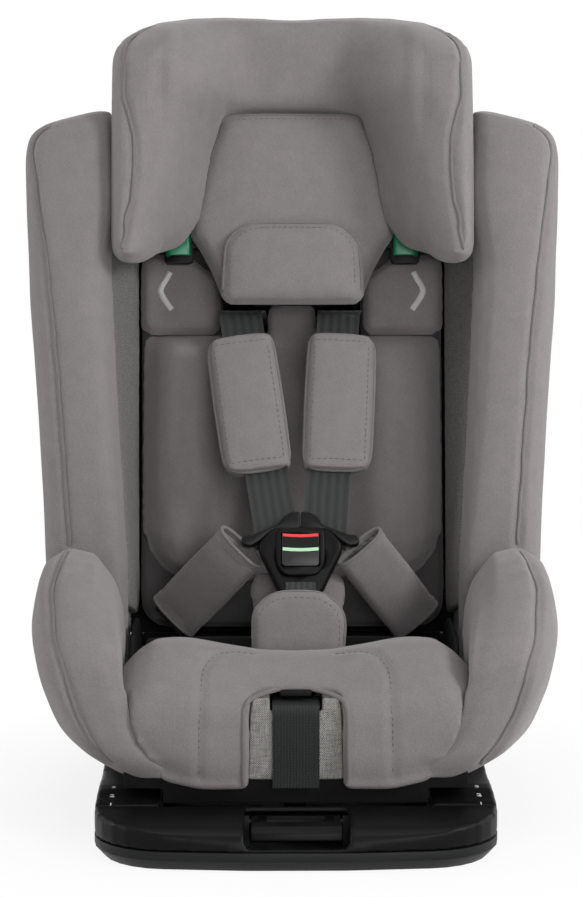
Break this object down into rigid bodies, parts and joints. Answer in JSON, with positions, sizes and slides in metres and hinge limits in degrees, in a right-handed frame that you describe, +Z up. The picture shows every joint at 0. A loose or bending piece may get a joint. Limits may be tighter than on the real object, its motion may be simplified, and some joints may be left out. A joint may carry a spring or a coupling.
{
  "type": "convertible car seat",
  "caption": "Reclining child car seat on a base: padded bucket with side wings, height-adjusting headrest, five-point harness and lower anchors.",
  "frame": {"origin": "on the underside of the base, midway between its sides and above the floor it stands on", "axes": "+Z up, -Y the way the seat faces, +X to the right of someone who faces the seat"},
  "size_m": [0.4798, 0.5372, 0.6798],
  "materials": {
    "base_plastic": "satin moulded plastic with a fine grain",
    "shell_plastic": "moulded plastic",
    "rubber": "anti-slip rubber",
    "steel": "zinc plated steel",
    "cover_fabric": "warm grey knitted cover over foam",
    "knit_fabric": "mottled grey knit",
    "panel_fabric": "light mottled knit",
    "liner_fabric": "black lining",
    "webbing": "woven black webbing",
    "buckle_plastic": "satin black plastic",
    "button_plastic": "satin grey plastic",
    "guide_green": "green plastic",
    "release_red": "red plastic"
  },
  "bodies": {
    "base": {"base_tray": "base_plastic", "base_cover": "base_plastic", "base_feet": "rubber", "base_screws": "steel", "recline_rail_left": "steel", "recline_rail_right": "steel", "handle_pin": "steel"},
    "recline_handle": {"recline_handle": "base_plastic"},
    "anchor_frame": {"anchor_frame": "steel", "anchor_housing_left": "shell_plastic", "anchor_housing_right": "shell_plastic", "anchor_pins": "steel"},
    "anchor_jaw_left": {"anchor_jaw_left": "steel"},
    "anchor_jaw_right": {"anchor_jaw_right": "steel"},
    "anchor_button_left": {"anchor_button_left": "release_red"},
    "anchor_button_right": {"anchor_button_right": "release_red"},
    "adjuster_button": {"adjuster_button": "steel"},
    "buckle_button": {"buckle_button": "button_plastic"},
    "headrest": {"headrest_carrier": "shell_plastic", "lever_pin": "steel", "headrest_cushion": "cover_fabric", "headrest_pad": "cover_fabric", "headrest_lower_pad": "cover_fabric", "belt_guide_left": "guide_green", "belt_guide_right": "guide_green", "shoulder_pad_left": "cover_fabric", "shoulder_pad_right": "cover_fabric"},
    "headrest_lever": {"headrest_lever": "shell_plastic"},
    "seat": {"seat_pan": "shell_plastic", "recline_carriage": "shell_plastic", "back_shell": "shell_plastic", "back_panel": "shell_plastic", "adjuster_housing": "shell_plastic", "carriage_pins": "steel", "headrest_rods": "steel", "headrest_rack": "steel", "splitter_plate": "steel", "seat_cushion": "cover_fabric", "bolster_left": "cover_fabric", "bolster_right": "cover_fabric", "wing_left": "cover_fabric", "wing_right": "cover_fabric", "back_liner": "cover_fabric", "back_cushion": "cover_fabric", "shoulder_flap_left": "cover_fabric", "shoulder_flap_right": "cover_fabric", "crotch_pad": "cover_fabric", "hip_pad_left": "cover_fabric", "hip_pad_right": "cover_fabric", "knit_panel_left": "knit_fabric", "knit_panel_right": "knit_fabric", "front_panel": "panel_fabric", "seat_liner": "liner_fabric", "adjuster_strap": "webbing", "crotch_strap": "webbing", "harness_strap_left": "webbing", "harness_strap_right": "webbing", "buckle_body": "buckle_plastic", "tongue_left": "buckle_plastic", "tongue_right": "buckle_plastic"}
  },
  "joints": [
    {"name": "recline", "type": "hinge", "parent": "base", "child": "seat", "pos_m": [0, -0.1, 0.64], "axis": [-1, 0, 0], "range_deg": [0, 10.5]},
    {"name": "recline_handle_lift", "type": "hinge", "parent": "base", "child": "recline_handle", "pos_m": [0, -0.188, 0.021], "axis": [-1, 0, 0], "range_deg": [0, 8], "stiffness_Nm_per_rad": 2.5, "springref_deg": -5.73},
    {"name": "anchor_slide", "type": "slide", "parent": "base", "child": "anchor_frame", "axis": [0, 1, 0], "range_m": [0, 0.08]},
    {"name": "anchor_button_left_slide", "type": "slide", "parent": "anchor_frame", "child": "anchor_button_left", "axis": [0, -1, 0], "range_m": [0, 0.006], "stiffness_N_per_m": 900, "springref_m": -0.004},
    {"name": "anchor_jaw_left_turn", "type": "hinge", "parent": "anchor_frame", "child": "anchor_jaw_left", "pos_m": [-0.14, 0.185, 0.025], "axis": [1, 0, 0], "range_deg": [0, 24]},
    {"name": "anchor_button_right_slide", "type": "slide", "parent": "anchor_frame", "child": "anchor_button_right", "axis": [0, -1, 0], "range_m": [0, 0.006], "stiffness_N_per_m": 900, "springref_m": -0.004},
    {"name": "anchor_jaw_right_turn", "type": "hinge", "parent": "anchor_frame", "child": "anchor_jaw_right", "pos_m": [0.14, 0.185, 0.025], "axis": [1, 0, 0], "range_deg": [0, 24]},
    {"name": "headrest_slide", "type": "slide", "parent": "seat", "child": "headrest", "axis": [0, 0.2588, 0.9659], "range_m": [-0.025, 0.1], "deforming": ["harness_strap_left", "harness_strap_right"]},
    {"name": "headrest_lever_pull", "type": "hinge", "parent": "headrest", "child": "headrest_lever", "pos_m": [0, 0.16534, 0.51258], "axis": [-1, 0, 0], "range_deg": [0, 8], "stiffness_Nm_per_rad": 3, "springref_deg": -6.88},
    {"name": "buckle_button_press", "type": "slide", "parent": "seat", "child": "buckle_button", "axis": [0, 0.9397, -0.342], "range_m": [0, 0.004], "stiffness_N_per_m": 2500, "springref_m": -0.003},
    {"name": "adjuster_button_press", "type": "slide", "parent": "seat", "child": "adjuster_button", "axis": [0, 1, 0], "range_m": [0, 0.005], "stiffness_N_per_m": 1500, "springref_m": -0.003}
  ],
  "couplings": [
    {"joint": "anchor_jaw_left_turn", "follows": "anchor_button_left_slide", "rad_per_m": 69.812},
    {"joint": "anchor_jaw_right_turn", "follows": "anchor_button_right_slide", "rad_per_m": 69.812}
  ]
}
